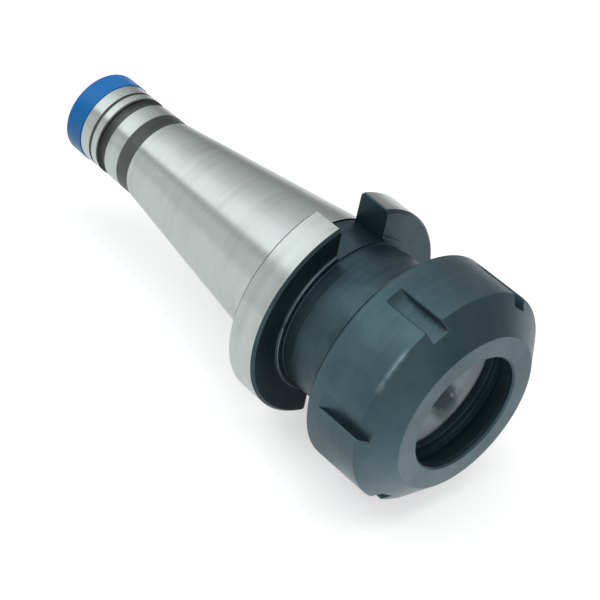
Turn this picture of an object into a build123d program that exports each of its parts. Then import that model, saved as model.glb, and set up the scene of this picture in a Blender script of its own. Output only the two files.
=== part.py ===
from build123d import *
import math
import os

# Collet chuck holder: a size 40 steep-taper shank with a driving flange, a collet socket and
# a clamping nut for size 40 spring collets, and a plastic cap on the drawbar end.
#
# Millimetres. +X runs along the tool axis towards the clamping nut and +Z is up.
# The origin is the centre of the gauge plane, where the taper has its gauge diameter.
# The driving notches point straight up and straight down, so the holder can't roll.

# Collet socket and the hole behind it
socket_dia = 41.0
socket_half_angle = 8.0
socket_length = 33.0
socket_chamfer = 0.4
shank_bore_step = 6.5
shank_bore_dia = socket_dia - 2 * shank_bore_step
shank_bore_length = 25.0
through_hole_dia = 10.5
drill_half_angle = 59.0

# Nose with the nut's thread, and the neck behind it
nose_face = 44.0
nose_wall = 4.015
thread_pitch_dia = socket_dia + 2 * nose_wall
thread_length = 11.5
nose_chamfer = 0.9
thread_shoulder = 2.115
neck_dia = thread_pitch_dia - 2 * thread_shoulder
root_groove_depth = 0.5
root_groove_width = 3.6
collar_rise = 1.3
collar_height = 0.7

# Clamping nut
nut_wall = 6.985
nut_dia = thread_pitch_dia + 2 * nut_wall
nut_length = 25.5
nut_reach = 13.0
nut_front = nose_face + nut_reach
nut_rear_bevel = 1.2
nut_nose_length = 6.9
mouth_step = 3.8
mouth_dia = socket_dia - 2 * mouth_step
nut_face_width = 6.3
nut_face_dia = mouth_dia + 2 * nut_face_width
mouth_land = 1.8
mouth_chamfer = 0.5
seat_half_angle = 30.0
seat_length = 5.5
collar_recess_step = 0.4
collar_recess_dia = socket_dia + 2 * collar_recess_step
collar_recess_width = 2.3
lip_step = 1.5
lip_dia = socket_dia - 2 * lip_step
lip_offset = 0.9
lip_width = 2.0
lip_core_step = 2.9
lip_core_dia = socket_dia - 2 * lip_core_step
thread_relief_depth = 0.885
thread_relief_dia = thread_pitch_dia + 2 * thread_relief_depth
thread_relief_width = 3.5

# Spanner slots in the nut
slot_count = 6
slot_width = 5.0
slot_depth = 2.75
slot_start = 4.5
slot_cutter_dia = 20.0
slot_first_angle = 24.0

# Driving flange, as wide as the nut
flange_dia = nut_dia
flange_rear = 1.6
flange_thickness = 10.0
flange_chamfer = 0.8
notch_width = 16.1
notch_floor_rise = 0.1
notch_floor_radius = neck_dia / 2 + notch_floor_rise

# Taper shank
gauge_dia = 44.45
taper_rate = 7 / 24
taper_length = 65.4
shank_relief_start = 0.4
shank_relief_depth = 0.425

# Pilot cylinder behind the taper
pilot_dia = 25.0
pilot_length = 21.6
pilot_end = taper_length + pilot_length
pilot_land = 10.55
groove_front = taper_length + pilot_land
groove_width = 3.35
groove_depth = 0.9
mark_from_end = 4.2
mark_position = pilot_end - mark_from_end
mark_width = 0.7
mark_depth = 0.35

# Turned-down end that carries the cap
cap_seat_depth = 0.5
cap_seat_dia = pilot_dia - 2 * cap_seat_depth
cap_seat_length = 6.4
shank_length = pilot_end + cap_seat_length
shank_end_chamfer = 1.0

# Drawbar hole
drawbar_pitch_dia = 14.70
drawbar_thread_length = 32.0
counterbore_step = 1.15
counterbore_depth = 5.0
drawbar_core_step = 0.45
drawbar_core_length = 6.0

# End cap
cap_side_wall = 0.7
cap_floor = 0.8
cap_edge_bevel = 0.8

# Clearances between separate pieces
thread_gap = 0.06
cap_gap = 0.05

# Overrun that takes a cutting tool past the metal
overrun = 2.0


def turned(outline):
    """Solid of revolution about the tool axis, from (x, radius) points."""
    points = [(x, 0, radius) for x, radius in outline]
    return revolve(make_face(Polyline(*points, close=True)), Axis.X)


def taper_radius(x):
    """Radius of the steep taper at a place along the tool axis."""
    return gauge_dia / 2 + x * taper_rate / 2


def rod(radius, x_from, x_to, z=0):
    """Plain cylinder along the tool axis, or at a height above it."""
    length = x_to - x_from
    return Pos((x_from + x_to) / 2, 0, z) * Rot(0, 90, 0) * Cylinder(radius, length)


def shank_outline():
    """Outside of the holder from the drawbar end up to the flange."""
    pilot = pilot_dia / 2
    seat = cap_seat_dia / 2
    groove_rear = groove_front + groove_width
    mark_half = mark_width / 2
    gauge = gauge_dia / 2
    relief = gauge - shank_relief_depth
    return [
        (-shank_length, 0),
        (-shank_length, seat - shank_end_chamfer),
        (-shank_length + shank_end_chamfer, seat),
        (-pilot_end, seat),
        (-pilot_end, pilot),
        (-mark_position - mark_half, pilot),
        (-mark_position, pilot - mark_depth),
        (-mark_position + mark_half, pilot),
        (-groove_rear, pilot),
        (-groove_rear, pilot - groove_depth),
        (-groove_front, pilot - groove_depth),
        (-groove_front, pilot),
        (-taper_length, pilot),
        (-taper_length, taper_radius(-taper_length)),
        (0, gauge),
        (shank_relief_start, gauge),
        (shank_relief_start, relief),
        (flange_rear, relief),
    ]


def head_outline():
    """Outside of the holder from the flange to the nose."""
    rim = flange_dia / 2
    neck = neck_dia / 2
    collar = neck + collar_rise
    root = neck - root_groove_depth
    thread = thread_pitch_dia / 2
    flange_front = flange_rear + flange_thickness
    collar_front = flange_front + collar_height
    groove_end = collar_front + root_groove_width
    thread_start = nose_face - thread_length
    return [
        (flange_rear, rim - flange_chamfer),
        (flange_rear + flange_chamfer, rim),
        (flange_front - flange_chamfer, rim),
        (flange_front, rim - flange_chamfer),
        (flange_front, collar),
        (collar_front, collar),
        (collar_front, root),
        (groove_end, root),
        (groove_end, neck),
        (thread_start - thread_shoulder, neck),
        (thread_start, thread),
        (nose_face - nose_chamfer, thread),
        (nose_face, thread - nose_chamfer),
        (nose_face, 0),
    ]


def driving_notches():
    """Two notches through the flange rim, with floors that follow the neck."""
    length = flange_thickness + 2 * overrun
    middle = flange_rear + flange_thickness / 2
    bar = Pos(middle, 0, 0) * Box(length, notch_width, flange_dia + 2 * overrun)
    return bar - rod(notch_floor_radius, flange_rear - 2 * overrun, nose_face)


def socket_bottom_x():
    """Place where the collet cone ends."""
    return nose_face - socket_length


def socket_cavity():
    """Collet cone and the bore behind it, with the drilled bottom."""
    slope = math.tan(math.radians(socket_half_angle))
    mouth = socket_dia / 2
    deep = mouth - socket_length * slope
    bore = shank_bore_dia / 2
    hole = through_hole_dia / 2
    bottom = socket_bottom_x()
    bore_end = bottom - shank_bore_length
    drill_tip = bore_end - (bore - hole) / math.tan(math.radians(drill_half_angle))
    return turned([
        (nose_face + overrun, 0),
        (nose_face + overrun, mouth + socket_chamfer),
        (nose_face, mouth + socket_chamfer),
        (nose_face - socket_chamfer, mouth - socket_chamfer * slope),
        (bottom, deep),
        (bottom, bore),
        (bore_end, bore),
        (drill_tip, hole),
        (drill_tip, 0),
    ])


def drawbar_hole():
    """Counterbore, thread and core drilling at the rear, and the hole through to the socket."""
    rear = -shank_length
    thread_start = rear + counterbore_depth
    thread_end = thread_start + drawbar_thread_length
    core_end = thread_end + drawbar_core_length
    thread = drawbar_pitch_dia / 2
    counterbore = thread + counterbore_step
    core = thread - drawbar_core_step
    hole = through_hole_dia / 2
    tip = core_end + (core - hole) / math.tan(math.radians(drill_half_angle))
    return turned([
        (rear - overrun, 0),
        (rear - overrun, counterbore),
        (thread_start, counterbore),
        (thread_start, thread),
        (thread_end, thread),
        (thread_end, core),
        (core_end, core),
        (tip, hole),
        (socket_bottom_x() - shank_bore_length, hole),
        (socket_bottom_x() - shank_bore_length, 0),
    ])


def holder_body():
    """The one-piece steel holder."""
    body = turned(shank_outline() + head_outline())
    return body - driving_notches() - socket_cavity() - drawbar_hole()


def nut_rear_x():
    """Rear face of the clamping nut."""
    return nut_front - nut_length


def nut_blank():
    """Outside of the clamping nut before it is bored and slotted."""
    rim = nut_dia / 2
    rear = nut_rear_x()
    edge = nut_front - nut_nose_length
    return turned([
        (rear, 0),
        (rear, rim - nut_rear_bevel),
        (rear + nut_rear_bevel, rim),
        (edge, rim),
        (nut_front, nut_face_dia / 2),
        (nut_front, 0),
    ])


def nut_cavity():
    """Mouth, collet seat, recess for the collet collar, thread relief and thread."""
    mouth = mouth_dia / 2
    rear = nut_rear_x()
    land_end = nut_front - mouth_land
    seat_end = land_end - seat_length
    seat_radius = mouth + seat_length * math.tan(math.radians(seat_half_angle))
    lip_front = seat_end - collar_recess_width
    lip_rear = lip_front - lip_width
    relief_end = lip_rear - thread_relief_width
    thread = thread_pitch_dia / 2 + thread_gap
    relief = thread_relief_dia / 2
    entry = relief - thread
    cavity = turned([
        (nut_front + overrun, 0),
        (nut_front + overrun, mouth + mouth_chamfer),
        (nut_front, mouth + mouth_chamfer),
        (nut_front - mouth_chamfer, mouth),
        (land_end, mouth),
        (seat_end, seat_radius),
        (seat_end, collar_recess_dia / 2),
        (lip_front, collar_recess_dia / 2),
        (lip_front, lip_core_dia / 2),
        (lip_rear, lip_core_dia / 2),
        (lip_rear, relief),
        (relief_end, relief),
        (relief_end, thread),
        (rear + entry, thread),
        (rear, relief),
        (rear - overrun, relief),
        (rear - overrun, 0),
    ])
    # The lip that draws the collet out is bored off centre.
    return cavity + rod(lip_dia / 2, lip_rear - overrun / 2, seat_end, z=lip_offset)


def spanner_slot():
    """Milled slot at the top of the nut, with the cutter's run-out at its rear end."""
    floor = nut_dia / 2 - slot_depth
    cutter = slot_cutter_dia / 2
    run_out = math.sqrt(2 * cutter * slot_depth - slot_depth ** 2)
    arbor_x = nut_rear_x() + slot_start + run_out
    length = nut_front + overrun - arbor_x
    height = slot_depth + overrun
    channel = Pos(arbor_x + length / 2, 0, floor + height / 2) * Box(length, slot_width, height)
    disc = Pos(arbor_x, 0, floor + cutter) * Rot(90, 0, 0) * Cylinder(cutter, slot_width)
    return channel + disc


def clamping_nut():
    """The one-piece clamping nut."""
    nut = nut_blank() - nut_cavity()
    for index in range(slot_count):
        nut -= Rot(slot_first_angle + index * 360 / slot_count, 0, 0) * spanner_slot()
    return nut


def end_cap():
    """Push-on plastic cap over the turned-down end of the shank."""
    inner = cap_seat_dia / 2 + cap_gap
    outer = inner + cap_side_wall
    mouth = -pilot_end - cap_gap
    floor = -shank_length - cap_gap
    rear = floor - cap_floor
    return turned([
        (mouth, inner),
        (mouth, outer),
        (rear + cap_edge_bevel, outer),
        (rear, outer - cap_edge_bevel),
        (rear, 0),
        (floor, 0),
        (floor, inner),
    ])


os.makedirs("parts", exist_ok=True)
export_step(holder_body(), "parts/holder_body.step")
export_step(clamping_nut(), "parts/clamping_nut.step")
export_step(end_cap(), "parts/end_cap.step")
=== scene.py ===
"""Looks of a collet chuck holder: a ground steep-taper shank, a black nut and a blue end cap.

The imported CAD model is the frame. Each of its three nodes is replaced by a finely turned mesh of
the same form, with small edge rounds and screw threads, and every finish is procedural.
Sizes are in millimetres, x runs along the tool axis, and r is a radius about that axis.
"""
import logging
import math
from dataclasses import asdict, dataclass
from enum import Enum
from typing import Sequence

import bmesh
import bpy
from mathutils import Matrix, Vector


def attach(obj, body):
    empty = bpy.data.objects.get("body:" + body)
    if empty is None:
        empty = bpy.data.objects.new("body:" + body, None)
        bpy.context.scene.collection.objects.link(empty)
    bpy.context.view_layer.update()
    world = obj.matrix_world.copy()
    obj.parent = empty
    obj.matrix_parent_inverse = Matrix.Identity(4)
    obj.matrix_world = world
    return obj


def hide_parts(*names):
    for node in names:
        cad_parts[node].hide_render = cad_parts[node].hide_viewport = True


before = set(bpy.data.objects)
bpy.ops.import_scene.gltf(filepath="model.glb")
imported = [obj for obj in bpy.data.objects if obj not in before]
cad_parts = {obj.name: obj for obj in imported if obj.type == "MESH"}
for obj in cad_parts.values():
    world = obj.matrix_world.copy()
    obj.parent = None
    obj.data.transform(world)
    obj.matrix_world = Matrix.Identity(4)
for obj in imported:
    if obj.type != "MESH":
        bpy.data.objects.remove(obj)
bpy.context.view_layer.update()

MM = 0.001
LOG = logging.getLogger("holder")

# Meshes: points nearer than WELD are one, a point this near to a plane is on it (both in metres),
# and a face smaller than NO_AREA has no area (in square metres).
WELD = 2e-7
ON_PLANE = 1e-7
NO_AREA = 1e-12

# Rounds: an edge shorter than this (in millimetres) has none, one takes at most this share of the
# shorter edge beside it, and a corner whose half angle is above STRAIGHT is none.
SHORTEST = 1e-6
ROUND_SHARE = 0.48
STRAIGHT = math.radians(89.5)

# Slots: one cuts only rings that lie further out than this share of its floor's distance, its bevel
# takes at most this share of a wall, and the plain lines start this many bevels beside it.
SLOT_REACH = 0.9
BEVEL_SHARE = 0.25
BEVELS_BESIDE = 3

# Shading: an edge is sharp from this angle on.
SHARP = math.radians(32.0)

Colour = tuple[float, float, float]
Point = tuple[float, float]
Ring = tuple[float, float, float]
Edges = tuple[float, float, float, float]

Outputs = bpy.types.NodeOutputs
Socket = bpy.types.NodeSocket

WHITE: Colour = (1.0, 1.0, 1.0)


class Facing(Enum):
    """Which side of its wall a screw thread stands on."""

    OUTWARD = 1
    INWARD = -1


class Level(Enum):
    """Where a line of a slotted blank runs."""

    BETWEEN = "on the metal between two slots"
    RIM = "on the metal at the edge of a slot"
    EDGE = "at the foot of the slot's edge bevel"
    CUT = "in the slot"


class Finish(Enum):
    """The finishes, as places in a piece's list of materials."""

    GROUND = 0
    BLACKED = 1
    BORED = 2
    BROWNED = 3


@dataclass(frozen=True)
class Corner:
    """A corner of a turned outline.

    Args:
        x: Place along the tool axis.
        r: Radius.
        fillet: Radius of the round at the corner.
        finish: Finish of the surface that starts here.
        lift: How far the turning centre lies above the tool axis.
    """

    x: float
    r: float
    fillet: float = 0.0
    finish: Finish = Finish.GROUND
    lift: float = 0.0

    def spot(self) -> Vector:
        """The corner as a point of the outline."""
        return Vector((self.x, self.r))


@dataclass
class Outline:
    """A turned outline with rounded corners.

    Args:
        corners: The corners in order.
        closed: Whether the last corner joins the first. If not, both ends lie on the tool axis.
        round_steps: How many straight steps each round has.
    """

    corners: Sequence[Corner]
    closed: bool = True
    round_steps: int = 4

    def rings(self) -> tuple[list[Ring], list[Finish]]:
        """Works out the outline's points.

        Returns:
            The points as (x, r, lift), and the finish that starts at each.
        """
        rings: list[Ring] = []
        finishes: list[Finish] = []
        count = len(self.corners)
        for index, corner in enumerate(self.corners):
            before = self.corners[index - 1]
            after = self.corners[(index + 1) % count]
            points = [(corner.x, corner.r)]
            if self.closed or 0 < index < count - 1:
                points = self._round(before.spot(), corner, after.spot())
            for step, (x, r) in enumerate(points):
                rings.append((x, r, corner.lift))
                finishes.append(before.finish if 2 * step < len(points) - 1 else corner.finish)
        return rings, finishes

    def _round(self, before: Vector, corner: Corner, after: Vector) -> list[Point]:
        """Points of one corner's round.

        Args:
            before: The outline's point before the corner.
            corner: The corner.
            after: The outline's point after it.

        Returns:
            Points as (x, r), only the corner itself where it has no round.
        """
        here = corner.spot()
        backward, forward = before - here, after - here
        if corner.fillet <= 0 or min(backward.length, forward.length) < SHORTEST:
            return [(corner.x, corner.r)]
        half = backward.angle(forward) / 2
        if half > STRAIGHT:
            return [(corner.x, corner.r)]
        most = ROUND_SHARE * min(backward.length, forward.length)
        reach = min(corner.fillet / math.tan(half), most)
        radius = reach * math.tan(half)
        inward = (backward.normalized() + forward.normalized()).normalized()
        middle = here + inward * (radius / math.sin(half))
        first = here + backward.normalized() * reach - middle
        last = here + forward.normalized() * reach - middle
        start = math.atan2(first.y, first.x)
        sweep = (math.atan2(last.y, last.x) - start + math.pi) % math.tau - math.pi
        points = []
        for step in range(self.round_steps + 1):
            angle = start + sweep * step / self.round_steps
            points.append((middle.x + radius * math.cos(angle), middle.y + radius * math.sin(angle)))
        return points


@dataclass(frozen=True)
class Slot:
    """A straight slot that runs along the tool axis, through the rim of a blank.

    Args:
        width: Width of the slot.
        bevel: Size of the bevel along its outer edges.
        start: Where the slot's reach starts along the tool axis.
        end: Where it ends.
        depth_radius: Distance of the floor from the tool axis.
        strips: How many strips the floor is divided into.
        finish: Finish in the slot.
    """

    width: float
    bevel: float
    start: float
    end: float
    depth_radius: float
    strips: int
    finish: Finish

    def floor(self, x: float, side: float) -> float:
        """Height of the floor above the tool axis, infinite where the slot doesn't reach."""
        return self.depth_radius if self.start <= x <= self.end else math.inf


@dataclass(frozen=True)
class RoundFloorSlot(Slot):
    """A slot whose floor follows a circle about the tool axis."""

    def floor(self, x: float, side: float) -> float:
        """Height of the floor above the tool axis, infinite where the slot doesn't reach."""
        return math.sqrt(super().floor(x, side) ** 2 - side ** 2)


@dataclass(frozen=True)
class MilledSlot(Slot):
    """A flat-floored slot that starts with the run-out of a round cutter.

    Args:
        cutter: Radius of the cutter.
        arbor: Where the cutter's arbor stopped along the tool axis.
    """

    cutter: float = 10.0
    arbor: float = 0.0

    def floor(self, x: float, side: float) -> float:
        """Height of the floor above the tool axis.

        Args:
            x: Place along the tool axis.
            side: Sideways distance from the slot's middle.

        Returns:
            The height, infinite where the slot doesn't reach.
        """
        behind = self.arbor - x
        if behind <= 0:
            return self.depth_radius
        if behind >= self.cutter:
            return math.inf
        return self.depth_radius + self.cutter - math.sqrt(self.cutter ** 2 - behind ** 2)


@dataclass(frozen=True)
class Line:
    """A line that runs the length of a blank.

    Args:
        angle: Angle of its slot's middle about the tool axis, from straight up, in radians.
        level: Where it runs.
        offset: Sideways distance from the slot's middle.
        share: How far it lies from one slot to the next, from 0 to 1.
    """

    angle: float
    level: Level
    offset: float = 0.0
    share: float = 0.0


@dataclass
class TurnedBlank:
    """A body of revolution about the tool axis, with evenly spaced slots in its rim.

    Args:
        outline: The outline.
        slot: The slot, if the blank has any.
        slot_count: How many slots there are.
        first_angle: Angle of the first slot from straight up, in degrees.
        spacing: Spacing of the lines between slots, in degrees.
    """

    outline: Outline
    slot: Slot | None = None
    slot_count: int = 1
    first_angle: float = 0.0
    spacing: float = 1.6

    def _margin(self) -> float:
        """Sideways distance from a slot's middle to the first plain line."""
        return self.slot.width / 2 + BEVELS_BESIDE * self.slot.bevel if self.slot else 0.0

    def lines(self) -> list[Line]:
        """Works out the lines that run the length of the blank.

        Returns:
            The lines, in order round the axis.
        """
        lines = []
        turn = math.tau / self.slot_count
        margin = self._margin()
        lean = math.asin(margin / self.slot.depth_radius) if self.slot else 0.0
        fill = round(math.degrees(turn - 2 * lean) / self.spacing)
        for index in range(self.slot_count):
            angle = math.radians(self.first_angle) + turn * index
            if self.slot:
                half = self.slot.width / 2
                lines += [Line(angle, Level.RIM, -half), Line(angle, Level.EDGE, -half)]
                for strip in range(self.slot.strips + 1):
                    lines.append(Line(angle, Level.CUT, half * (2 * strip / self.slot.strips - 1)))
                lines += [Line(angle, Level.EDGE, half), Line(angle, Level.RIM, half)]
            last = 1 if self.slot else 0
            for part in range(fill + last):
                lines.append(Line(angle, Level.BETWEEN, share=part / fill))
        return lines

    def place(self, ring: Ring, line: Line) -> Vector:
        """Where a line crosses a ring.

        Args:
            ring: The ring as (x, r, lift).
            line: The line.

        Returns:
            The point, in metres.
        """
        x, r, lift = ring
        if line.level is Level.BETWEEN:
            angle = line.angle + self._between(r, line.share)
            side, up = 0.0, r
        else:
            angle = line.angle
            side, up = self._beside_slot(x, r, line)
        sine, cosine = math.sin(angle), math.cos(angle)
        return Vector((x, -up * sine - side * cosine, up * cosine - side * sine + lift)) * MM

    def _between(self, r: float, share: float) -> float:
        """Angle from a slot's middle to a plain line, at a radius."""
        lean = math.asin(self._margin() / max(r, self.slot.depth_radius)) if self.slot else 0.0
        return lean + share * (math.tau / self.slot_count - 2 * lean)

    def _beside_slot(self, x: float, r: float, line: Line) -> Point:
        """Where a slot's line crosses a ring, with the slot's middle straight up.

        Args:
            x: The ring's place along the tool axis.
            r: The ring's radius.
            line: The line.

        Returns:
            Sideways place and height of the point.
        """
        slot = self.slot
        half = slot.width / 2
        in_reach = r > SLOT_REACH * slot.depth_radius
        wall = max(0.0, math.sqrt(r * r - half * half) - slot.floor(x, half)) if in_reach else 0.0
        bevel = min(slot.bevel, wall * BEVEL_SHARE)
        offset = line.offset
        if line.level is Level.RIM:
            offset += math.copysign(bevel, offset)
        lean = math.asin(offset / max(r, slot.depth_radius))
        side, up = r * math.sin(lean), r * math.cos(lean)
        if line.level is Level.EDGE:
            up -= bevel
        if line.level is Level.CUT and in_reach:
            up = min(up, slot.floor(x, side))
        return side, up

    def build(self, name: str) -> bpy.types.Object:
        """Makes the piece.

        Args:
            name: Name of the piece.

        Returns:
            The new object, with a finish number on each face.
        """
        work = bmesh.new()
        lines = self.lines()
        outline, finishes = self.outline.rings()
        rings = [[work.verts.new(self.place(ring, line)) for line in lines] for ring in outline]
        count = len(rings)
        for index in range(count if self.outline.closed else count - 1):
            ring, following = rings[index], rings[(index + 1) % count]
            for spot, line in enumerate(lines):
                after = (spot + 1) % len(lines)
                face = work.faces.new((ring[spot], ring[after], following[after], following[spot]))
                in_slot = self._is_cut(outline[index], outline[(index + 1) % count], line, lines[after])
                face.material_index = (self.slot.finish if in_slot else finishes[index]).value
        bmesh.ops.remove_doubles(work, verts=work.verts, dist=WELD)
        self._join_end_walls(work)
        bmesh.ops.recalc_face_normals(work, faces=work.faces)
        return finished_piece(name, work)

    def _is_cut(self, ring: Ring, following: Ring, line: Line, after: Line) -> bool:
        """Whether a face lies in a slot.

        Args:
            ring: The ring at one end of the face.
            following: The ring at its other end.
            line: The line at one side of the face.
            after: The line at its other side.

        Returns:
            True where the slot cuts either ring between the two lines.
        """
        if Level.BETWEEN in (line.level, after.level):
            return False
        side = (line.offset + after.offset) / 2
        for x, r, _ in (ring, following):
            if r > SLOT_REACH * self.slot.depth_radius and self.slot.floor(x, side) < r:
                return True
        return False

    def _join_end_walls(self, work: bmesh.types.BMesh) -> None:
        """Joins the faces of each slot wall into one where the slot cuts through a flat end.

        Args:
            work: The mesh.
        """
        for index in range(self.slot_count if self.slot else 0):
            angle = math.radians(self.first_angle) + math.tau * index / self.slot_count
            turn = Matrix.Rotation(-angle, 3, "X")
            for side in (-1, 1):
                plane = side * self.slot.width / 2 * MM
                wall = []
                for face in work.faces:
                    spots = [turn @ vert.co for vert in face.verts]
                    if all(abs(spot.y - plane) < ON_PLANE and spot.z > 0 for spot in spots):
                        wall.append(face)
                if any(face.calc_area() < NO_AREA for face in wall):
                    bmesh.ops.dissolve_faces(work, faces=wall, use_verts=False)


@dataclass
class ScrewThread:
    """The ridge of a right-hand screw thread, wound on a cylinder about the tool axis.

    Args:
        wall: Radius of the cylinder that the ridge stands on.
        crest: Radius of the ridge's crest.
        pitch: Advance in one turn.
        start: Where the ridge starts along the tool axis.
        end: Where it ends.
        facing: Which side of the wall the ridge is on.
        steps: Steps in one turn.
        foot: Half of the ridge's width at its foot, as a share of the pitch.
        land: Half of its width at the crest, as a share of the pitch.
        sink: How far its foot sinks into the wall.
        least: Height of its two ends, as a share of the full height.
        growth: How many full heights it grows in one turn from an end.
    """

    wall: float
    crest: float
    pitch: float
    start: float
    end: float
    facing: Facing
    steps: int = 120
    foot: float = 0.46
    land: float = 0.09
    sink: float = 0.04
    least: float = 0.05
    growth: float = 2.5

    def build(self, name: str) -> bpy.types.Object:
        """Makes the ridge, which sinks a little into its wall and fades out at both ends.

        Args:
            name: Name of the piece.

        Returns:
            The new object.
        """
        turns = (self.end - self.start) / self.pitch
        count = round(turns * self.steps)
        height = abs(self.crest - self.wall)
        top = height + self.sink
        section = ((-self.foot, 0.0), (-self.land, top), (self.land, top), (self.foot, 0.0))
        work = bmesh.new()
        rings = []
        for index in range(count + 1):
            turned = turns * index / count
            fade = min(1.0, self.least + self.growth * min(turned, turns - turned))
            angle = math.tau * turned
            ring = []
            for along, rise in section:
                x = self.start + (turned + along) * self.pitch
                r = self.wall + self.facing.value * (rise * fade - self.sink)
                ring.append(work.verts.new(Vector((x, -r * math.sin(angle), r * math.cos(angle))) * MM))
            rings.append(ring)
        for ring, following in zip(rings, rings[1:]):
            for spot in range(len(section)):
                after = (spot + 1) % len(section)
                work.faces.new((ring[spot], ring[after], following[after], following[spot]))
        work.faces.new(rings[0])
        work.faces.new(reversed(rings[-1]))
        bmesh.ops.recalc_face_normals(work, faces=work.faces)
        return finished_piece(name, work)


def finished_piece(name: str, work: bmesh.types.BMesh) -> bpy.types.Object:
    """Turns a worked mesh into a smooth-shaded object of the scene.

    Args:
        name: Name of the piece.
        work: The mesh, which is freed.

    Returns:
        The new object.
    """
    mesh = bpy.data.meshes.new(name)
    work.to_mesh(mesh)
    work.free()
    mesh.shade_smooth()
    mesh.set_sharp_from_angle(angle=SHARP)
    piece = bpy.data.objects.new(name, mesh)
    bpy.context.scene.collection.objects.link(piece)
    weighted = piece.modifiers.new("flat faces stay flat", "WEIGHTED_NORMAL")
    weighted.keep_sharp = True
    LOG.info("%s: %d faces", name, len(mesh.polygons))
    return piece


@dataclass
class NodeTree:
    """Short ways to add and join nodes in a material or a node group.

    Args:
        tree: The tree that is filled.
    """

    tree: bpy.types.NodeTree

    def feed(self, socket: Socket, value: object) -> None:
        """Joins a socket to another, or sets its value.

        Args:
            socket: The socket.
            value: A socket that puts out the value, or the value itself.
        """
        if isinstance(value, bpy.types.NodeSocket):
            self.tree.links.new(value, socket)
        elif isinstance(value, tuple) and len(value) == 3 and socket.type == "RGBA":
            socket.default_value = (*value, 1.0)
        else:
            socket.default_value = value

    def put(self, kind: str, entries: dict[int | str, object], **settings: object) -> Outputs:
        """Adds a node and feeds it.

        Args:
            kind: Blender's name of the node, without its first word.
            entries: What goes into its inputs, by their places or names.
            settings: Properties of the node.

        Returns:
            Its outputs.
        """
        node = self.tree.nodes.new("ShaderNode" + kind)
        for key, value in settings.items():
            setattr(node, key, value)
        for key, value in entries.items():
            self.feed(node.inputs[key], value)
        return node.outputs

    def spot(self) -> Socket:
        """Adds the place on the piece, in metres."""
        return self.put("TexCoord", {})["Object"]

    def split(self, vector: Socket) -> tuple[Socket, ...]:
        """Splits a vector into its three parts."""
        return tuple(self.put("SeparateXYZ", {0: vector}))

    def math(self, operation: str, *values: object) -> Socket:
        """Adds a Math node, by Blender's name of its operation."""
        return self.put("Math", dict(enumerate(values)), operation=operation)[0]

    def ramp(self, value: object, low: object, high: object) -> Socket:
        """Maps a value to 0 at low and 1 at high, eased at both ends."""
        entries = {"Value": value, "From Min": low, "From Max": high}
        return self.put("MapRange", entries, interpolation_type="SMOOTHSTEP")["Result"]

    def window(self, value: object, edges: Edges) -> Socket:
        """Maps a value to 1 between the two inner edges, fading to 0 at the outer edges."""
        low, full, last, high = edges
        return self.math("MULTIPLY", self.ramp(value, low, full), self.ramp(value, high, last))

    def graded(self, value: object, most: float, stops: Sequence[Point]) -> Socket:
        """Runs a value from 0 to 1 through stops.

        Args:
            value: The value.
            most: The highest level of any stop.
            stops: The stops, as pairs of a place from 0 to 1 and a level.

        Returns:
            The level.
        """
        result = self.put("ValToRGB", {0: value})[0]
        ramp = result.node.color_ramp
        while len(ramp.elements) < len(stops):
            ramp.elements.new(1.0)
        for element, (place, level) in zip(ramp.elements, stops):
            element.position = place
            element.color = (*[level / most] * 3, 1.0)
        return self.math("MULTIPLY", result, most)

    def blend(self, share: object, first: object, second: object) -> Socket:
        """Mixes two colours, by the share of the second."""
        return self.put("Mix", {0: share, 6: first, 7: second}, data_type="RGBA")[2]

    def between(self, share: object, first: object, second: object) -> Socket:
        """Mixes two numbers, by the share of the second."""
        return self.put("Mix", {0: share, 2: first, 3: second}, data_type="FLOAT")[0]

    def noise(self, vector: object, scale: object, detail: float = 3.0, rough: float = 0.5) -> Socket:
        """Adds a Noise Texture in space."""
        entries = {"Vector": vector, "Scale": scale, "Detail": detail, "Roughness": rough}
        return self.put("TexNoise", entries, noise_dimensions="3D")[0]

    def noise_along(self, value: object, scale: object, detail: float = 2.0) -> Socket:
        """Adds a Noise Texture along one measure."""
        entries = {"W": value, "Scale": scale, "Detail": detail}
        return self.put("TexNoise", entries, noise_dimensions="1D")[0]

    def glow(self, strength: object) -> Socket:
        """Adds a white Emission shader."""
        return self.put("Emission", {"Color": WHITE, "Strength": strength})[0]

    def effect(self, group: bpy.types.NodeTree, **values: object) -> Outputs:
        """Places a shared effect, its inputs named with underscores for spaces."""
        entries = {key.replace("_", " "): value for key, value in values.items()}
        return self.put("Group", entries, label=group.name, node_tree=group)


@dataclass
class Effect:
    """A shared effect: a node group that is built once and placed in each material that uses it.

    Args:
        name: Name of the group.
        inputs: Name and starting value of each input.
        outputs: Name of each output.
    """

    name: str
    inputs: dict[str, float]
    outputs: Sequence[str]

    def __post_init__(self) -> None:
        """Builds the group and its sockets."""
        self.group = bpy.data.node_groups.new(self.name, "ShaderNodeTree")
        new_socket = self.group.interface.new_socket
        for entry, value in self.inputs.items():
            new_socket(entry, in_out="INPUT", socket_type="NodeSocketFloat").default_value = value
        for entry in self.outputs:
            new_socket(entry, in_out="OUTPUT", socket_type="NodeSocketFloat")
        self.nodes = NodeTree(self.group)
        self.given = self.group.nodes.new("NodeGroupInput").outputs
        self.result = self.group.nodes.new("NodeGroupOutput").inputs

    def give(self, **values: Socket) -> bpy.types.NodeTree:
        """Joins the group's outputs.

        Args:
            values: What goes into each output.

        Returns:
            The group.
        """
        for key, value in values.items():
            self.nodes.feed(self.result[key], value)
        return self.group


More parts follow.
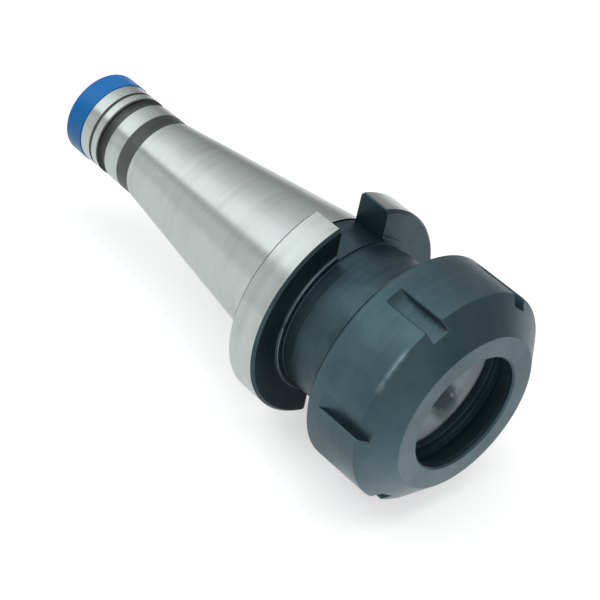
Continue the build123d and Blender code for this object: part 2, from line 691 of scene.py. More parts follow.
class Effects:
    """The effects that the finishes share."""

    def __init__(self) -> None:
        """Builds each effect once."""
        self.axis = self._axis_measures()
        self.turning = self._turning_marks()
        self.mottle = self._mottle()
        self.ring_mark = self._ring_mark()
        self.scuffs = self._scuffs()

    @staticmethod
    def _axis_measures() -> bpy.types.NodeTree:
        """Place along the tool axis, distance from it and angle about it from straight up.

        Returns:
            The effect's group.
        """
        effect = Effect("axis measures", {}, ("Along", "Radius", "Angle"))
        n = effect.nodes
        x, y, z = n.split(n.spot())
        along = n.math("MULTIPLY", x, 1 / MM)
        squares = n.math("ADD", n.math("POWER", y, 2.0), n.math("POWER", z, 2.0))
        radius = n.math("MULTIPLY", n.math("SQRT", squares), 1 / MM)
        angle = n.math("DEGREES", n.math("ARCTAN2", n.math("MULTIPLY", y, -1.0), z))
        return effect.give(Along=along, Radius=radius, Angle=angle)

    def _turning_marks(self) -> bpy.types.NodeTree:
        """Fine rings that a lathe or a grinding wheel leaves.

        Returns:
            The effect's group.
        """
        effect = Effect("turning marks", {"Pitch": 0.2, "Waver": 0.1}, ("Height", "Tone"))
        n = effect.nodes
        axis = n.effect(self.axis)
        drift = n.math("MULTIPLY", n.math("SUBTRACT", n.noise(n.spot(), 60.0), 0.5), effect.given["Waver"])
        measure = n.math("ADD", n.math("ADD", axis["Along"], axis["Radius"]), drift)
        steps = n.math("DIVIDE", measure, effect.given["Pitch"])
        height = n.noise_along(steps, 1.0, 3.0)
        tone = n.ramp(n.noise_along(steps, 0.13, 2.0), 0.3, 0.7)
        return effect.give(Height=height, Tone=tone)

    @staticmethod
    def _mottle() -> bpy.types.NodeTree:
        """Soft clouds and fine grain.

        Returns:
            The effect's group.
        """
        effect = Effect("mottle", {"Scale": 90.0, "Grain Scale": 1500.0}, ("Cloud", "Grain"))
        n = effect.nodes
        spot = n.spot()
        cloud = n.ramp(n.noise(spot, effect.given["Scale"], 4.0, 0.6), 0.35, 0.68)
        grain = n.noise(spot, effect.given["Grain Scale"], 2.0)
        return effect.give(Cloud=cloud, Grain=grain)

    def _ring_mark(self) -> bpy.types.NodeTree:
        """A stretch of a turned ring that gets a painted highlight or, in the socket, a painted dark
        reflection.

        Returns:
            The effect's group.
        """
        inputs = {"At": 0.0, "Radius": 10.0, "Width": 1.0, "Angle": 0.0, "Spread": 10.0}
        effect = Effect("ring mark", inputs, ("Mask",))
        n = effect.nodes
        axis = n.effect(self.axis)
        along = n.math("SUBTRACT", axis["Along"], effect.given["At"])
        out = n.math("SUBTRACT", axis["Radius"], effect.given["Radius"])
        away = n.math("SQRT", n.math("ADD", n.math("MULTIPLY", along, along), n.math("MULTIPLY", out, out)))
        near = n.ramp(n.math("DIVIDE", away, effect.given["Width"]), 1.0, 0.2)
        aside = n.math("ABSOLUTE", n.math("SUBTRACT", axis["Angle"], effect.given["Angle"]))
        inner = n.math("MULTIPLY", effect.given["Spread"], 0.7)
        outer = n.math("MULTIPLY", effect.given["Spread"], 1.4)
        patchy = n.ramp(n.noise(n.spot(), 260.0, 3.0), 0.25, 0.5)
        stretch = n.math("MULTIPLY", n.ramp(aside, outer, inner), patchy)
        return effect.give(Mask=n.math("MULTIPLY", near, stretch))

    @staticmethod
    def _scuffs() -> bpy.types.NodeTree:
        """Sparse short scratches in many directions.

        Returns:
            The effect's group.
        """
        effect = Effect("scuffs", {"Amount": 0.5}, ("Mask",))
        n = effect.nodes
        spot = n.spot()
        lines = None
        for turn, stretch, scale in ((0.5, 14.0, 70.0), (1.4, 18.0, 55.0), (2.5, 11.0, 85.0)):
            mapped = n.put("Mapping", {
                "Vector": spot,
                "Location": (turn, 0.0, 2.0 * turn),
                "Rotation": (turn, 0.4 * turn, turn),
                "Scale": (1.0, stretch, stretch),
            }, vector_type="POINT")
            line = n.ramp(n.noise(mapped[0], scale, 1.0), 0.70, 0.735)
            lines = line if lines is None else n.math("MAXIMUM", lines, line)
        patch = n.ramp(n.noise(spot, 45.0, 2.0), 0.45, 0.7)
        return effect.give(Mask=n.math("MULTIPLY", n.math("MULTIPLY", lines, patch), effect.given["Amount"]))


@dataclass
class Material:
    """A material with a Principled shader, filled by the finish that makes it.

    Args:
        name: Name of the material.
    """

    name: str

    def __post_init__(self) -> None:
        """Adds the material and its shader."""
        self.material = bpy.data.materials.new(self.name)
        self.material.use_nodes = True
        self.nodes = NodeTree(self.material.node_tree)
        self.shader = self.material.node_tree.nodes["Principled BSDF"]

    def set(self, **values: object) -> None:
        """Sets or joins sockets of the shader, named with underscores for spaces."""
        for key, value in values.items():
            self.nodes.feed(self.shader.inputs[key.replace("_", " ")], value)

    def bump(self, height: Socket, distance: float, strength: float, **under: Socket) -> Socket:
        """Adds a Bump node, with Normal=... on another one's normal."""
        entries = {"Height": height, "Distance": distance, "Strength": strength, **under}
        return self.nodes.put("Bump", entries)[0]


@dataclass(frozen=True)
class PaintedRingLight:
    """A stretch of a turned ring that gets a painted highlight or, in the socket, a painted dark reflection.

    Args:
        at: Place along the tool axis.
        radius: Radius of the ring.
        width: How far the mark reaches from the ring.
        angle: Angle of its middle about the tool axis, from straight up, in degrees.
        spread: How far it reaches round the axis to each side, in degrees.
    """

    at: float
    radius: float
    width: float
    angle: float
    spread: float = 10.0

    def mask(self, nodes: NodeTree, effects: Effects) -> Socket:
        """Adds the mark to a material's nodes and returns its mask."""
        values = {key.capitalize(): value for key, value in asdict(self).items()}
        return nodes.effect(effects.ring_mark, **values)["Mask"]


@dataclass(frozen=True)
class GroundSteel:
    """Bare steel, finely ground round the tool axis.

    Args:
        bright: Colour of the ground metal.
        dull: Colour in the darker rings and clouds.
        roughness: Roughness of the metal.
        anisotropy: How much the grinding draws reflections out along the tool axis.
        metallic: How much of the light is mirrored as by bare metal.
        scratched: Colour of scratches.
        stained: Colour of a painted dark reflection.
        stain: Where a dark reflection is painted, if anywhere.
    """

    bright: Colour = (0.420, 0.462, 0.450)
    dull: Colour = (0.360, 0.398, 0.386)
    roughness: float = 0.22
    anisotropy: float = 0.7
    metallic: float = 1.0
    scratched: Colour = (0.78, 0.80, 0.79)
    stained: Colour = (0.08, 0.11, 0.12)
    stain: PaintedRingLight | None = None

    def make(self, name: str, effects: Effects) -> bpy.types.Material:
        """Makes the material.

        Args:
            name: Name of the material.
            effects: The shared effects.

        Returns:
            The material.
        """
        m = Material(name)
        n = m.nodes
        rings = n.effect(effects.turning, Pitch=0.35, Waver=0.05)
        cloud = n.effect(effects.mottle, Scale=55.0, Grain_Scale=1800.0)
        scuff = n.effect(effects.scuffs, Amount=0.3)
        tone = n.math("MULTIPLY", rings["Tone"], cloud["Cloud"])
        colour = n.blend(tone, self.bright, self.dull)
        colour = n.blend(n.math("MULTIPLY", scuff["Mask"], 0.35), colour, self.scratched)
        # A dark reflection painted into the colour, where one is given.
        if self.stain:
            colour = n.blend(n.math("MULTIPLY", self.stain.mask(n, effects), 0.9), colour, self.stained)
        rough = n.math("ADD", self.roughness, n.math("MULTIPLY", rings["Height"], 0.10))
        rough = n.math("ADD", rough, n.math("MULTIPLY", cloud["Cloud"], 0.05))
        m.set(Base_Color=colour, Roughness=rough, Metallic=self.metallic, Anisotropic=self.anisotropy)
        m.set(Anisotropic_Rotation=0.25)
        tangent = n.put("Tangent", {}, direction_type="RADIAL", axis="X")[0]
        m.set(Tangent=tangent, Normal=m.bump(rings["Height"], 0.00002, 0.35))
        return m.material


@dataclass(frozen=True)
class BlackedSteel:
    """Steel with a satin blackened surface.

    Args:
        dark: Colour of the blacking.
        pale: Colour where it is thinner.
        bare: Colour of the painted highlights.
        roughness: Roughness of the surface.
        pitch: Pitch of the turning marks.
        rubbed: Where a pale line is painted along an edge as a painted highlight, if anywhere.
        front_rub: How much paler the faces that look forward are painted, as a painted sheen.
        oil: How much of a thin oil film lies on it.
    """

    dark: Colour = (0.034, 0.068, 0.083)
    pale: Colour = (0.053, 0.098, 0.114)
    bare: Colour = (0.16, 0.235, 0.255)
    roughness: float = 0.36
    pitch: float = 0.22
    rubbed: PaintedRingLight | None = None
    front_rub: float = 0.0
    oil: float = 0.10

    def make(self, name: str, effects: Effects) -> bpy.types.Material:
        """Makes the material.

        Args:
            name: Name of the material.
            effects: The shared effects.

        Returns:
            The material.
        """
        m = Material(name)
        n = m.nodes
        rings = n.effect(effects.turning, Pitch=self.pitch, Waver=0.08)
        cloud = n.effect(effects.mottle, Scale=70.0, Grain_Scale=1400.0)
        # Painted sheen: faces that look forward are painted paler.
        forward = n.split(n.put("TexCoord", {})["Normal"])[0]
        front = n.math("MULTIPLY", n.ramp(forward, 0.9, 0.98), self.front_rub)
        front = n.math("MULTIPLY", front, n.between(cloud["Cloud"], 0.7, 1.0))
        colour = n.blend(cloud["Cloud"], self.dark, self.pale)
        colour = n.blend(n.math("MULTIPLY", rings["Tone"], 0.35), colour, self.pale)
        # Painted highlights: the pale edge line and the forward sheen, in the highlight colour.
        painted_highlight = n.math("MAXIMUM", self.rubbed.mask(n, effects), front) if self.rubbed else front
        colour = n.blend(n.math("MULTIPLY", painted_highlight, 0.6), colour, self.bare)
        rough = n.math("ADD", self.roughness, n.math("MULTIPLY", cloud["Grain"], 0.12))
        rough = n.math("SUBTRACT", rough, n.math("MULTIPLY", painted_highlight, 0.12))
        m.set(Base_Color=colour, Roughness=rough, Metallic=0.85, Coat_Weight=self.oil, Coat_Roughness=0.3)
        fine = m.bump(rings["Height"], 0.00002, 0.4)
        m.set(Normal=m.bump(cloud["Grain"], 0.00001, 0.3, Normal=fine))
        return m.material


@dataclass(frozen=True)
class BluePlastic:
    """Soft blue plastic with a slight gloss.

    Args:
        deep: Colour of the plastic.
        pale: Colour where it is scuffed or dusty.
        roughness: Roughness of the surface.
    """

    deep: Colour = (0.0, 0.110, 0.345)
    pale: Colour = (0.006, 0.150, 0.410)
    roughness: float = 0.32

    def make(self, name: str, effects: Effects) -> bpy.types.Material:
        """Makes the material.

        Args:
            name: Name of the material.
            effects: The shared effects.

        Returns:
            The material.
        """
        m = Material(name)
        n = m.nodes
        cloud = n.effect(effects.mottle, Scale=120.0, Grain_Scale=2400.0)
        scuff = n.effect(effects.scuffs, Amount=0.3)
        colour = n.blend(n.math("MULTIPLY", cloud["Cloud"], 0.3), self.deep, self.pale)
        colour = n.blend(scuff["Mask"], colour, self.pale)
        rough = n.math("ADD", self.roughness, n.math("MULTIPLY", cloud["Cloud"], 0.08))
        m.set(Base_Color=colour, Roughness=rough, Metallic=0.0, Specular_IOR_Level=0.22)
        m.set(Normal=m.bump(cloud["Grain"], 0.000012, 0.35))
        return m.material


@dataclass(frozen=True)
class Finishes:
    """The finished materials.

    Args:
        ground: Ground steel.
        blacked: Blackened steel of the holder.
        bored: Steel inside the bores.
        browned: Duller dark steel of the bands behind the taper.
        nut: Satin blackened steel of the nut.
        plastic: Blue plastic.
    """

    ground: bpy.types.Material
    blacked: bpy.types.Material
    bored: bpy.types.Material
    browned: bpy.types.Material
    nut: bpy.types.Material
    plastic: bpy.types.Material

    def holder(self) -> list[bpy.types.Material]:
        """Materials of the holder, in the order of Finish."""
        return [self.ground, self.blacked, self.bored, self.browned]


def dress(
    piece: bpy.types.Object, materials: Sequence[bpy.types.Material], body: str
) -> None:
    """Dresses a piece and puts it on the body that carries it.

    Args:
        piece: The piece.
        materials: Its materials, in the order of its faces' finish numbers.
        body: Name of the body.
    """
    for material in materials:
        piece.data.materials.append(material)
    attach(piece, body)


@dataclass
class Holder:
    """The one-piece steel holder: pilot, taper, flange, neck and nose.

    Args: sizes as in the CAD model, all in millimetres. A shade is how far a groove's dark finish
        reaches past its edge, and a gap how far a thread's ridge stays from what bounds it.
    """

    rear: float = -93.4
    end_chamfer: float = 1.0
    cap_seat: float = 12.0
    pilot_rear: float = -87.0
    pilot: float = 12.5
    mark: float = -82.8
    mark_half: float = 0.35
    mark_shade: float = 0.35
    groove_rear: float = -79.3
    groove_front: float = -75.95
    groove: float = 11.6
    groove_shade: float = 0.6
    band_rear: float = -70.4
    taper_rear: float = -65.4
    gauge: float = 22.225
    taper_slope: float = 7 / 48
    relief_start: float = 0.4
    relief: float = 21.8
    flange_rear: float = 1.6
    flange_front: float = 11.6
    flange: float = 31.5
    flange_chamfer: float = 0.8
    notch_width: float = 16.1
    notch_floor: float = 22.5
    notch_bevel: float = 0.4
    notch_strips: int = 24
    notch_count: int = 2
    collar: float = 23.7
    collar_front: float = 12.3
    root: float = 21.9
    root_front: float = 15.9
    neck: float = 22.4
    thread_rear: float = 32.5
    thread_pitch_radius: float = 24.515
    thread_root: float = 23.95
    thread_crest: float = 24.50
    thread_pitch: float = 1.5
    thread_gap: float = 0.5
    nose_gap: float = 1.2
    nose: float = 44.0
    nose_chamfer: float = 0.9
    socket: float = 20.5
    socket_chamfer: float = 0.4
    socket_half_angle: float = 8.0
    socket_length: float = 33.0
    bore: float = 14.0
    bore_length: float = 25.0
    hole: float = 5.25
    drill_half_angle: float = 59.0
    counterbore: float = 8.5
    counterbore_depth: float = 5.0
    drawbar_root: float = 8.0
    drawbar_crest: float = 6.95
    drawbar_pitch: float = 2.0
    drawbar_length: float = 32.0
    drawbar_gap: float = 1.1
    drawbar_steps: int = 72
    core: float = 6.9
    core_length: float = 6.0

    def _outside(self) -> list[Corner]:
        """Works out the outside.

        Returns:
            Corners from the drawbar end to the nose.
        """
        ground, black, brown = Finish.GROUND, Finish.BLACKED, Finish.BROWNED
        step_up = self.thread_rear - (self.thread_pitch_radius - self.neck)
        rim = self.flange - self.flange_chamfer
        nose_line = self.nose - self.nose_chamfer + self.thread_pitch_radius
        return [
            Corner(self.rear, self.cap_seat - self.end_chamfer, 0.2, ground),
            Corner(self.rear + self.end_chamfer, self.cap_seat, 0.2, ground),
            Corner(self.pilot_rear, self.cap_seat, 0.1, ground),
            Corner(self.pilot_rear, self.pilot, 0.12, ground),
            Corner(self.mark - self.mark_half, self.pilot, 0.05, brown),
            Corner(self.mark, self.pilot - self.mark_half, 0.08, brown),
            Corner(self.mark + self.mark_half, self.pilot, 0.05, brown),
            Corner(self.mark + self.mark_half + self.mark_shade, self.pilot, 0.0, ground),
            Corner(self.groove_rear - self.groove_shade, self.pilot, 0.0, brown),
            Corner(self.groove_rear, self.pilot, 0.15, brown),
            Corner(self.groove_rear, self.groove, 0.35, brown),
            Corner(self.groove_front, self.groove, 0.35, brown),
            Corner(self.groove_front, self.pilot, 0.15, ground),
            Corner(self.band_rear, self.pilot, 0.0, brown),
            Corner(self.taper_rear, self.pilot, 0.08, brown),
            Corner(self.taper_rear, self.gauge + self.taper_rear * self.taper_slope, 0.12, ground),
            Corner(0.0, self.gauge, 0.0, ground),
            Corner(self.relief_start, self.gauge, 0.1, black),
            Corner(self.relief_start, self.relief, 0.1, black),
            Corner(self.flange_rear, self.relief, 0.25, black),
            Corner(self.flange_rear, rim, 0.25, black),
            Corner(self.flange_rear + self.flange_chamfer, self.flange, 0.25, ground),
            Corner(self.flange_front - self.flange_chamfer, self.flange, 0.25, black),
            Corner(self.flange_front, rim, 0.25, black),
            Corner(self.flange_front, self.collar, 0.2, black),
            Corner(self.collar_front, self.collar, 0.4, black),
            Corner(self.collar_front, self.root, 0.3, black),
            Corner(self.root_front, self.root, 0.3, black),
            Corner(self.root_front, self.neck, 0.3, black),
            Corner(step_up, self.neck, 1.2, black),
            Corner(step_up + self.thread_root - self.neck, self.thread_root, 0.15, black),
            Corner(nose_line - self.thread_root, self.thread_root, 0.1, black),
            Corner(self.nose, self.thread_pitch_radius - self.nose_chamfer, 0.15, ground),
        ]

    def _inside(self) -> list[Corner]:
        """Works out the inside.

        Returns:
            Corners from the socket's mouth back to the drawbar end.
        """
        bored = Finish.BORED
        slope = math.tan(math.radians(self.socket_half_angle))
        drill = math.tan(math.radians(self.drill_half_angle))
        bottom = self.nose - self.socket_length
        bore_end = bottom - self.bore_length
        thread_start = self.rear + self.counterbore_depth
        thread_end = thread_start + self.drawbar_length
        core_end = thread_end + self.core_length
        return [
            Corner(self.nose, self.socket + self.socket_chamfer, 0.1, bored),
            Corner(self.nose - self.socket_chamfer, self.socket - self.socket_chamfer * slope, 0.2, bored),
            Corner(bottom, self.socket - self.socket_length * slope, 0.2, bored),
            Corner(bottom, self.bore, 0.2, bored),
            Corner(bore_end, self.bore, 0.6, bored),
            Corner(bore_end - (self.bore - self.hole) / drill, self.hole, 0.2, bored),
            Corner(core_end + (self.core - self.hole) / drill, self.hole, 0.2, bored),
            Corner(core_end, self.core, 0.3, bored),
            Corner(thread_end, self.core, 0.1, bored),
            Corner(thread_end, self.drawbar_root, 0.1, bored),
            Corner(thread_start, self.drawbar_root, 0.1, bored),
            Corner(thread_start, self.counterbore, 0.2, bored),
            Corner(self.rear, self.counterbore, 0.3, bored),
        ]

    def build(self, finishes: Finishes) -> None:
        """Builds and dresses the holder and its two threads.

        Args:
            finishes: The finished materials.
        """
        notch = RoundFloorSlot(
            self.notch_width, self.notch_bevel, self.relief_start, self.root_front, self.notch_floor,
            self.notch_strips, Finish.BLACKED,
        )
        outline = Outline(self._outside() + self._inside())
        body = TurnedBlank(outline, notch, self.notch_count).build("holder")
        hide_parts("holder_body")
        dress(body, finishes.holder(), "holder")
        nose = ScrewThread(
            self.thread_root, self.thread_crest, self.thread_pitch, self.thread_rear + self.thread_gap,
            self.nose - self.nose_gap, Facing.OUTWARD,
        )
        dress(nose.build("nose_thread"), [finishes.blacked], "holder")
        start = self.rear + self.counterbore_depth
        drawbar = ScrewThread(
            self.drawbar_root, self.drawbar_crest, self.drawbar_pitch, start + self.drawbar_gap,
            start + self.drawbar_length - self.drawbar_gap, Facing.INWARD, self.drawbar_steps,
        )
        dress(drawbar.build("drawbar_thread_ridge"), [finishes.bored], "holder")


@dataclass
class ClampingNut:
    """The clamping nut, with its spanner slots and the off-centre lip that draws the collet out.

    Args: sizes as in the CAD model, all in millimetres. A gap is how far the thread's ridge stays
        from what bounds it.
    """

    rear: float = 31.5
    front: float = 57.0
    rim: float = 31.5
    rear_bevel: float = 1.2
    nose_length: float = 6.9
    face: float = 23.0
    mouth: float = 16.7
    mouth_chamfer: float = 0.5
    mouth_land: float = 1.8
    seat_length: float = 5.5
    seat_half_angle: float = 30.0
    recess: float = 20.9
    recess_width: float = 2.3
    lip: float = 19.0
    lip_lift: float = 0.9
    lip_width: float = 2.0
    relief: float = 25.4
    relief_width: float = 3.5
    thread_root: float = 25.05
    thread_crest: float = 24.60
    thread_pitch: float = 1.5
    thread_gap: float = 1.5
    relief_gap: float = 0.8
    slot_width: float = 5.0
    slot_bevel: float = 0.3
    slot_strips: int = 6
    slot_depth: float = 2.75
    slot_start: float = 4.5
    cutter: float = 10.0
    slot_count: int = 6
    first_slot: float = 24.0
    run_out_rings: int = 22
    cone_rings: int = 4

    def _thread_front(self) -> float:
        """Where the thread ends, behind its relief."""
        lip_rear = self.front - self.mouth_land - self.seat_length - self.recess_width - self.lip_width
        return lip_rear - self.relief_width

    def _slot(self) -> MilledSlot:
        """Works out the spanner slot.

        Returns:
            One of the slots.
        """
        run_out = math.sqrt(2 * self.cutter * self.slot_depth - self.slot_depth ** 2)
        begin = self.rear + self.slot_start
        return MilledSlot(
            self.slot_width, self.slot_bevel, begin, self.front, self.rim - self.slot_depth,
            self.slot_strips, Finish.BLACKED, self.cutter, begin + run_out,
        )

    def _outline(self, slot: MilledSlot) -> Outline:
        """Works out the nut's outline.

        Args:
            slot: The spanner slot.

        Returns:
            The outline, with extra rings where the slots start and where they leave the cone.
        """
        black = Finish.BLACKED
        edge = self.front - self.nose_length
        corners = [
            Corner(self.rear, self.rim - self.rear_bevel, 0.4, black),
            Corner(self.rear + self.rear_bevel, self.rim, 0.6, black),
        ]
        run_out = slot.arbor - slot.start
        for index in range(self.run_out_rings + 1):
            x = slot.start + run_out * index / self.run_out_rings
            corners.append(Corner(x, self.rim, 0.0, black))
        corners.append(Corner(edge, self.rim, 0.7, black))
        leave = math.hypot(slot.depth_radius, slot.width / 2)
        for index in range(self.cone_rings + 1):
            r = leave + (slot.depth_radius - leave) * index / self.cone_rings
            x = edge + self.nose_length * (self.rim - r) / (self.rim - self.face)
            corners.append(Corner(x, r, 0.0, black))
        seat_start = self.front - self.mouth_land
        seat_end = seat_start - self.seat_length
        lip_front = seat_end - self.recess_width
        lip_rear = lip_front - self.lip_width
        seat = self.mouth + self.seat_length * math.tan(math.radians(self.seat_half_angle))
        corners += [
            Corner(self.front, self.face, 0.6, black),
            Corner(self.front, self.mouth + self.mouth_chamfer, 0.2, black),
            Corner(self.front - self.mouth_chamfer, self.mouth, 0.2, black),
            Corner(seat_start, self.mouth, 0.2, black),
            Corner(seat_end, seat, 0.1, black),
            Corner(seat_end, self.recess, 0.2, black),
            Corner(lip_front, self.recess, 0.2, black),
            Corner(lip_front, self.lip, 0.2, black, self.lip_lift),
            Corner(lip_rear, self.lip, 0.2, black, self.lip_lift),
            Corner(lip_rear, self.relief, 0.3, black),
            Corner(self._thread_front(), self.relief, 0.3, black),
            Corner(self._thread_front(), self.thread_root, 0.05, black),
            Corner(self.rear + self.relief - self.thread_root, self.thread_root, 0.05, black),
            Corner(self.rear, self.relief, 0.1, black),
        ]
        return Outline(corners)

    def build(self, finishes: Finishes) -> None:
        """Builds and dresses the nut and its thread.

        Args:
            finishes: The finished materials.
        """
        slot = self._slot()
        nut = TurnedBlank(self._outline(slot), slot, self.slot_count, self.first_slot).build("nut")
        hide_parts("clamping_nut")
        # All its faces have the number of Finish.BLACKED, the second place in the list.
        dress(nut, [finishes.nut] * 2, "nut")
        thread = ScrewThread(
            self.thread_root, self.thread_crest, self.thread_pitch, self.rear + self.thread_gap,
            self._thread_front() - self.relief_gap, Facing.INWARD,
        )
        dress(thread.build("nut_thread"), [finishes.nut], "nut")


@dataclass
class EndCap:
    """The blue plastic cap that is pushed on the drawbar end.

    Args: sizes as in the CAD model, all in millimetres. The spacing of its lines is in degrees.
    """

    mouth: float = -87.05
    outer: float = 12.75
    inner: float = 12.05
    floor: float = -93.45
    thickness: float = 0.8
    rear_round: float = 1.35
    round_steps: int = 8
    spacing: float = 2.0

    def build(self, finishes: Finishes) -> None:
        """Builds and dresses the cap.

        Args:
            finishes: The finished materials.
        """
        corners = [
            Corner(self.floor - self.thickness, 0.0),
            Corner(self.floor - self.thickness, self.outer, self.rear_round),
            Corner(self.mouth, self.outer, 0.2),
            Corner(self.mouth, self.inner, 0.12),
            Corner(self.floor, self.inner, 0.4),
            Corner(self.floor, 0.0),
        ]
        outline = Outline(corners, closed=False, round_steps=self.round_steps)
        cap = TurnedBlank(outline, spacing=self.spacing).build("cap")
        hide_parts("end_cap")
        dress(cap, [finishes.plastic], "cap")


@dataclass(frozen=True)
class Lamp:
    """A soft square light that points at the holder.

    Args:
        name: Name of the light.
        azimuth: Direction of the light from the holder, in degrees from +X towards +Y.
        height: Its angle above the floor, in degrees.
        distance: Its distance from the holder, in metres.
        size: Length of its sides, in metres.
        power: Its power, in watts.
        aim: What it points at, in millimetres.
    """

    name: str
    azimuth: float
    height: float
    distance: float
    size: float
    power: float
    aim: tuple[float, float, float] = (-18.0, 0.0, 0.0)

    def build(self) -> None:
        """Adds the light to the scene, unseen by polished metal."""
        data = bpy.data.lights.new(self.name, "AREA")
        data.shape = "SQUARE"
        data.size = self.size
        data.energy = self.power
        lamp = bpy.data.objects.new(self.name, data)
        lamp.visible_glossy = False
        bpy.context.scene.collection.objects.link(lamp)
        azimuth, height = math.radians(self.azimuth), math.radians(self.height)
        flat = math.cos(height)
        toward = Vector((flat * math.cos(azimuth), flat * math.sin(azimuth), math.sin(height)))
        lamp.location = Vector(self.aim) * MM + toward * self.distance
        lamp.rotation_euler = toward.to_track_quat("Z", "Y").to_euler()


@dataclass
class Studio:
    """The pale floor, the soft lights, the white surroundings and the camera.

    Args:
        camera_place: Place of the camera, in millimetres.
        camera_right: Direction to the right of the picture.
        camera_up: Direction up the picture.
        lens: Focal length for a 36 mm frame.
        lamps: The lights.
        floor_height: Height of the floor, in millimetres.
        floor_radius: Radius of the floor, in metres.
        floor_tone: Colour of the floor near the holder, and how much it glows of itself.
        floor_white: Distances from the origin between which it turns plain white, in metres.
        floor_loss: How much darker polished metal mirrors the floor near the holder.
        far_loss: How many times that elsewhere, on the camera's side and on the far one.
        far_sides: Y between which the first of these changes to the second, in metres.
        neck_shade: How much darker polished metal mirrors the floor under the neck, a painted shadow.
        neck_along: Where that is, as outer and inner edges along the tool axis, in metres.
        neck_beside: Where it starts beside the tool axis, as an outer and an inner edge, in metres.
        nut_gleam: How much paler polished metal mirrors the floor in front of the nut, a painted pool of
            light.
        nut_place: Where that is, in metres.
        nut_reach: Distances from there between which it fades in, in metres.
        brightest: Strength of the brightest reflected light.
        ahead: Strength of what polished metal mirrors ahead, on the camera's side and on the far one.
        ahead_sides: Y of directions between which the first of these changes to the second.
        ahead_from: X of directions between which beside changes to ahead.
        box_along: The bright soft box ahead, as outer and inner edges of its directions' X.
        box_above: The same of their angle about the tool axis.
        surround: Strength of the surroundings for all other light on the holder.
        beside: What polished metal mirrors beside the holder, as pairs of the angle about the tool
            axis, 0 level on the camera's side and 90 straight up, and the strength there.
    """

    camera_place: tuple[float, float, float] = (279.4, -321.4, 323.5)
    camera_right: tuple[float, float, float] = (0.6528, 0.7408, 0.1594)
    camera_up: tuple[float, float, float] = (-0.5467, 0.3149, 0.7764)
    lens: float = 121.62
    lamps: tuple[Lamp, ...] = (
        Lamp("key light", -140.0, 48.0, 1.0, 0.7, 4.0),
        Lamp("top light", 60.0, 80.0, 1.2, 0.9, 7.0),
        Lamp("fill light", -35.0, 35.0, 1.3, 0.8, 3.0),
    )
    floor_height: float = -31.5
    floor_radius: float = 6.0
    floor_tone: float = 0.55
    floor_white: Point = (0.3, 0.7)
    floor_loss: float = 0.03
    far_loss: Point = (4.0, 15.0)
    far_sides: Point = (0.10, 0.35)
    neck_shade: float = 0.45
    neck_along: Edges = (0.010, 0.016, 0.031, 0.037)
    neck_beside: Point = (-0.035, -0.022)
    nut_gleam: float = 0.42
    nut_place: Point = (0.060, -0.016)
    nut_reach: Point = (0.045, 0.010)
    brightest: float = 2.2
    ahead: Point = (0.72, 0.42)
    ahead_sides: Point = (-0.3, 0.4)
    ahead_from: Point = (0.1, 0.6)
    box_along: Edges = (-0.35, -0.2, 0.45, 0.6)
    box_above: Edges = (20.0, 30.0, 56.0, 68.0)
    surround: float = 0.45
    beside: tuple[Point, ...] = (
        (-180.0, 0.36), (-90.0, 1.0), (-30.0, 1.0), (22.0, 1.0), (30.0, 0.58), (40.0, 0.58), (43.5, 1.85),
        (66.0, 1.75), (80.0, 1.65), (92.0, 1.45), (106.0, 1.15), (120.0, 0.96), (134.0, 0.82), (150.0, 0.66),
        (164.0, 0.46), (174.0, 0.36), (180.0, 0.36),
    )

    def build(self) -> None:
        """Builds the whole studio."""
        self._floor()
        self._world()
        for lamp in self.lamps:
            lamp.build()
        self._camera()

    def _camera(self) -> None:
        """The camera at the photograph's place."""
        right = Vector(self.camera_right).normalized()
        up = Vector(self.camera_up)
        up = (up - right * up.dot(right)).normalized()
        back = right.cross(up)
        turn = Matrix((right, up, back)).transposed().to_4x4()
        data = bpy.data.cameras.new("camera")
        data.lens = self.lens
        data.sensor_width = 36.0
        camera = bpy.data.objects.new("camera", data)
        camera.matrix_world = Matrix.Translation(Vector(self.camera_place) * MM) @ turn
        bpy.context.scene.collection.objects.link(camera)
        bpy.context.scene.camera = camera

    def _floor(self) -> None:
        """A round pale floor that keeps the holder's shadow and is white away from it."""
        work = bmesh.new()
        bmesh.ops.create_circle(work, cap_ends=True, radius=self.floor_radius, segments=96)
        for vert in work.verts:
            vert.co.z = self.floor_height * MM
        mesh = bpy.data.meshes.new("floor")
        work.to_mesh(mesh)
        work.free()
        floor = bpy.data.objects.new("floor", mesh)
        bpy.context.scene.collection.objects.link(floor)
        mesh.materials.append(self._floor_material())

    def _floor_material(self) -> bpy.types.Material:
        """Makes the floor's material.

        Returns:
            The material, pale near the holder and plain white further away.
        """
        material = bpy.data.materials.new("pale floor")
        material.use_nodes = True
        material.node_tree.nodes.clear()
        n = NodeTree(material.node_tree)
        paths = n.put("LightPath", {})
        seen = n.math("MAXIMUM", paths["Is Camera Ray"], paths["Is Glossy Ray"])
        seen = n.math("MAXIMUM", seen, paths["Is Transmission Ray"])
        mirrored = n.math("MULTIPLY", paths["Is Glossy Ray"], self.floor_loss)
        spot = n.spot()
        x, y, _ = n.split(spot)
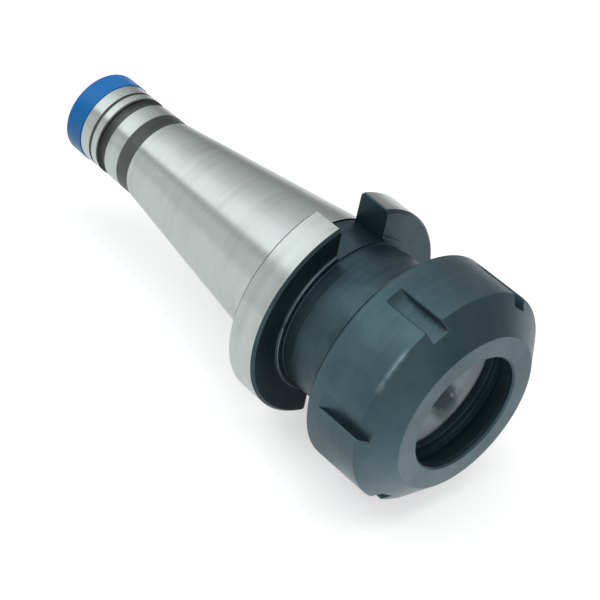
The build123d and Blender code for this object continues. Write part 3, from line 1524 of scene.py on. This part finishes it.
        # Seen only in reflections: a painted shadow under the neck and a painted pool of light in front of
        # the nut.
        under = n.math("MULTIPLY", n.window(x, self.neck_along), n.ramp(y, *self.neck_beside))
        centre = (*self.nut_place, self.floor_height * MM)
        reach = n.put("VectorMath", {0: spot, 1: centre}, operation="DISTANCE")["Value"]
        close = n.ramp(reach, *self.nut_reach)
        painted_nut_light = n.math("MULTIPLY", close, self.nut_gleam)
        painted_light_and_shadow = n.math("SUBTRACT", painted_nut_light, n.math("MULTIPLY", under, self.neck_shade))
        painted_light_and_shadow = n.math("MULTIPLY", painted_light_and_shadow, paths["Is Glossy Ray"])
        plain = n.math("SUBTRACT", n.math("MULTIPLY", seen, self.floor_tone), mirrored)
        matt = n.put("BsdfDiffuse", {"Color": (self.floor_tone,) * 3})[0]
        near = n.put("AddShader", {0: matt, 1: n.glow(n.math("ADD", plain, painted_light_and_shadow))})[0]
        far_side = n.between(n.ramp(y, *self.far_sides), *self.far_loss)
        white = n.glow(n.math("SUBTRACT", seen, n.math("MULTIPLY", mirrored, far_side)))
        distance = n.put("VectorMath", {0: spot}, operation="LENGTH")["Value"]
        away = n.ramp(distance, *self.floor_white)
        n.put("OutputMaterial", {0: n.put("MixShader", {0: away, 1: near, 2: white})[0]})
        return material

    def _world(self) -> None:
        """White surroundings that light the holder at a plain level."""
        world = bpy.data.worlds.new("studio")
        world.use_nodes = True
        bpy.context.scene.world = world
        n = NodeTree(world.node_tree)
        background = world.node_tree.nodes["Background"]
        paths = n.put("LightPath", {})
        x, y, z = n.split(n.put("TexCoord", {})["Generated"])
        height = n.math("DEGREES", n.math("ARCTAN2", z, n.math("MULTIPLY", y, -1.0)))
        share = n.math("ADD", n.math("DIVIDE", height, 360.0), 0.5)
        stops = [(angle / 360.0 + 0.5, level) for angle, level in self.beside]
        beside = n.graded(share, self.brightest, stops)
        ahead = n.between(n.ramp(y, *self.ahead_sides), *self.ahead)
        mirrored = n.between(n.ramp(x, *self.ahead_from), beside, ahead)
        box = n.math("MULTIPLY", n.window(x, self.box_along), n.window(height, self.box_above))
        mirrored = n.between(box, mirrored, self.brightest)
        seen = n.math("MAXIMUM", paths["Is Camera Ray"], paths["Is Transmission Ray"])
        lit = n.between(paths["Is Glossy Ray"], self.surround, mirrored)
        n.feed(background.inputs["Color"], WHITE)
        n.feed(background.inputs["Strength"], n.between(seen, lit, 1.0))


def main() -> None:
    """Builds the holder, the nut, the cap and the studio, in that order."""
    logging.basicConfig(level=logging.INFO, format="%(name)s: %(message)s")
    bpy.context.scene.view_settings.view_transform = "Standard"
    effects = Effects()
    holder, nut = Holder(), ClampingNut()
    # Painted highlight: a pale line along the holder's collar edge.
    collar_highlight = PaintedRingLight(holder.collar_front, holder.collar, width=0.9, angle=75.0, spread=75.0)
    # Painted highlight: a pale line along the nut's edge between its rim and its cone.
    cone_highlight = PaintedRingLight(nut.front - nut.nose_length, nut.rim, width=1.2, angle=51.0)
    # Painted dark reflection on the socket's bored steel.
    socket_dark_reflection = PaintedRingLight(
        at=holder.nose - 4.5, radius=holder.socket - 0.6, width=6.0, angle=-138.0, spread=12.0
    )
    black = BlackedSteel(
        dark=(0.020, 0.044, 0.056), pale=(0.042, 0.078, 0.090), roughness=0.34, rubbed=collar_highlight, oil=0.05
    )
    brown = BlackedSteel(dark=(0.036, 0.041, 0.040), pale=(0.075, 0.083, 0.081), roughness=0.42)
    bored = GroundSteel(
        bright=(0.80, 0.88, 0.90), dull=(0.66, 0.74, 0.77), roughness=0.35, anisotropy=0.2, metallic=0.35,
        stain=socket_dark_reflection,
    )
    # The nut gets that painted highlight and a painted sheen on its faces that look forward.
    satin = BlackedSteel(rubbed=cone_highlight, front_rub=0.36)
    finishes = Finishes(
        ground=GroundSteel().make("ground steel", effects),
        blacked=black.make("blackened steel", effects),
        bored=bored.make("bored steel", effects),
        browned=brown.make("browned steel", effects),
        nut=satin.make("satin black steel", effects),
        plastic=BluePlastic().make("blue plastic", effects),
    )
    for part in (holder, nut, EndCap()):
        part.build(finishes)
        LOG.info("built %s", type(part).__name__)
    Studio().build()


if __name__ == "__main__":
    main()
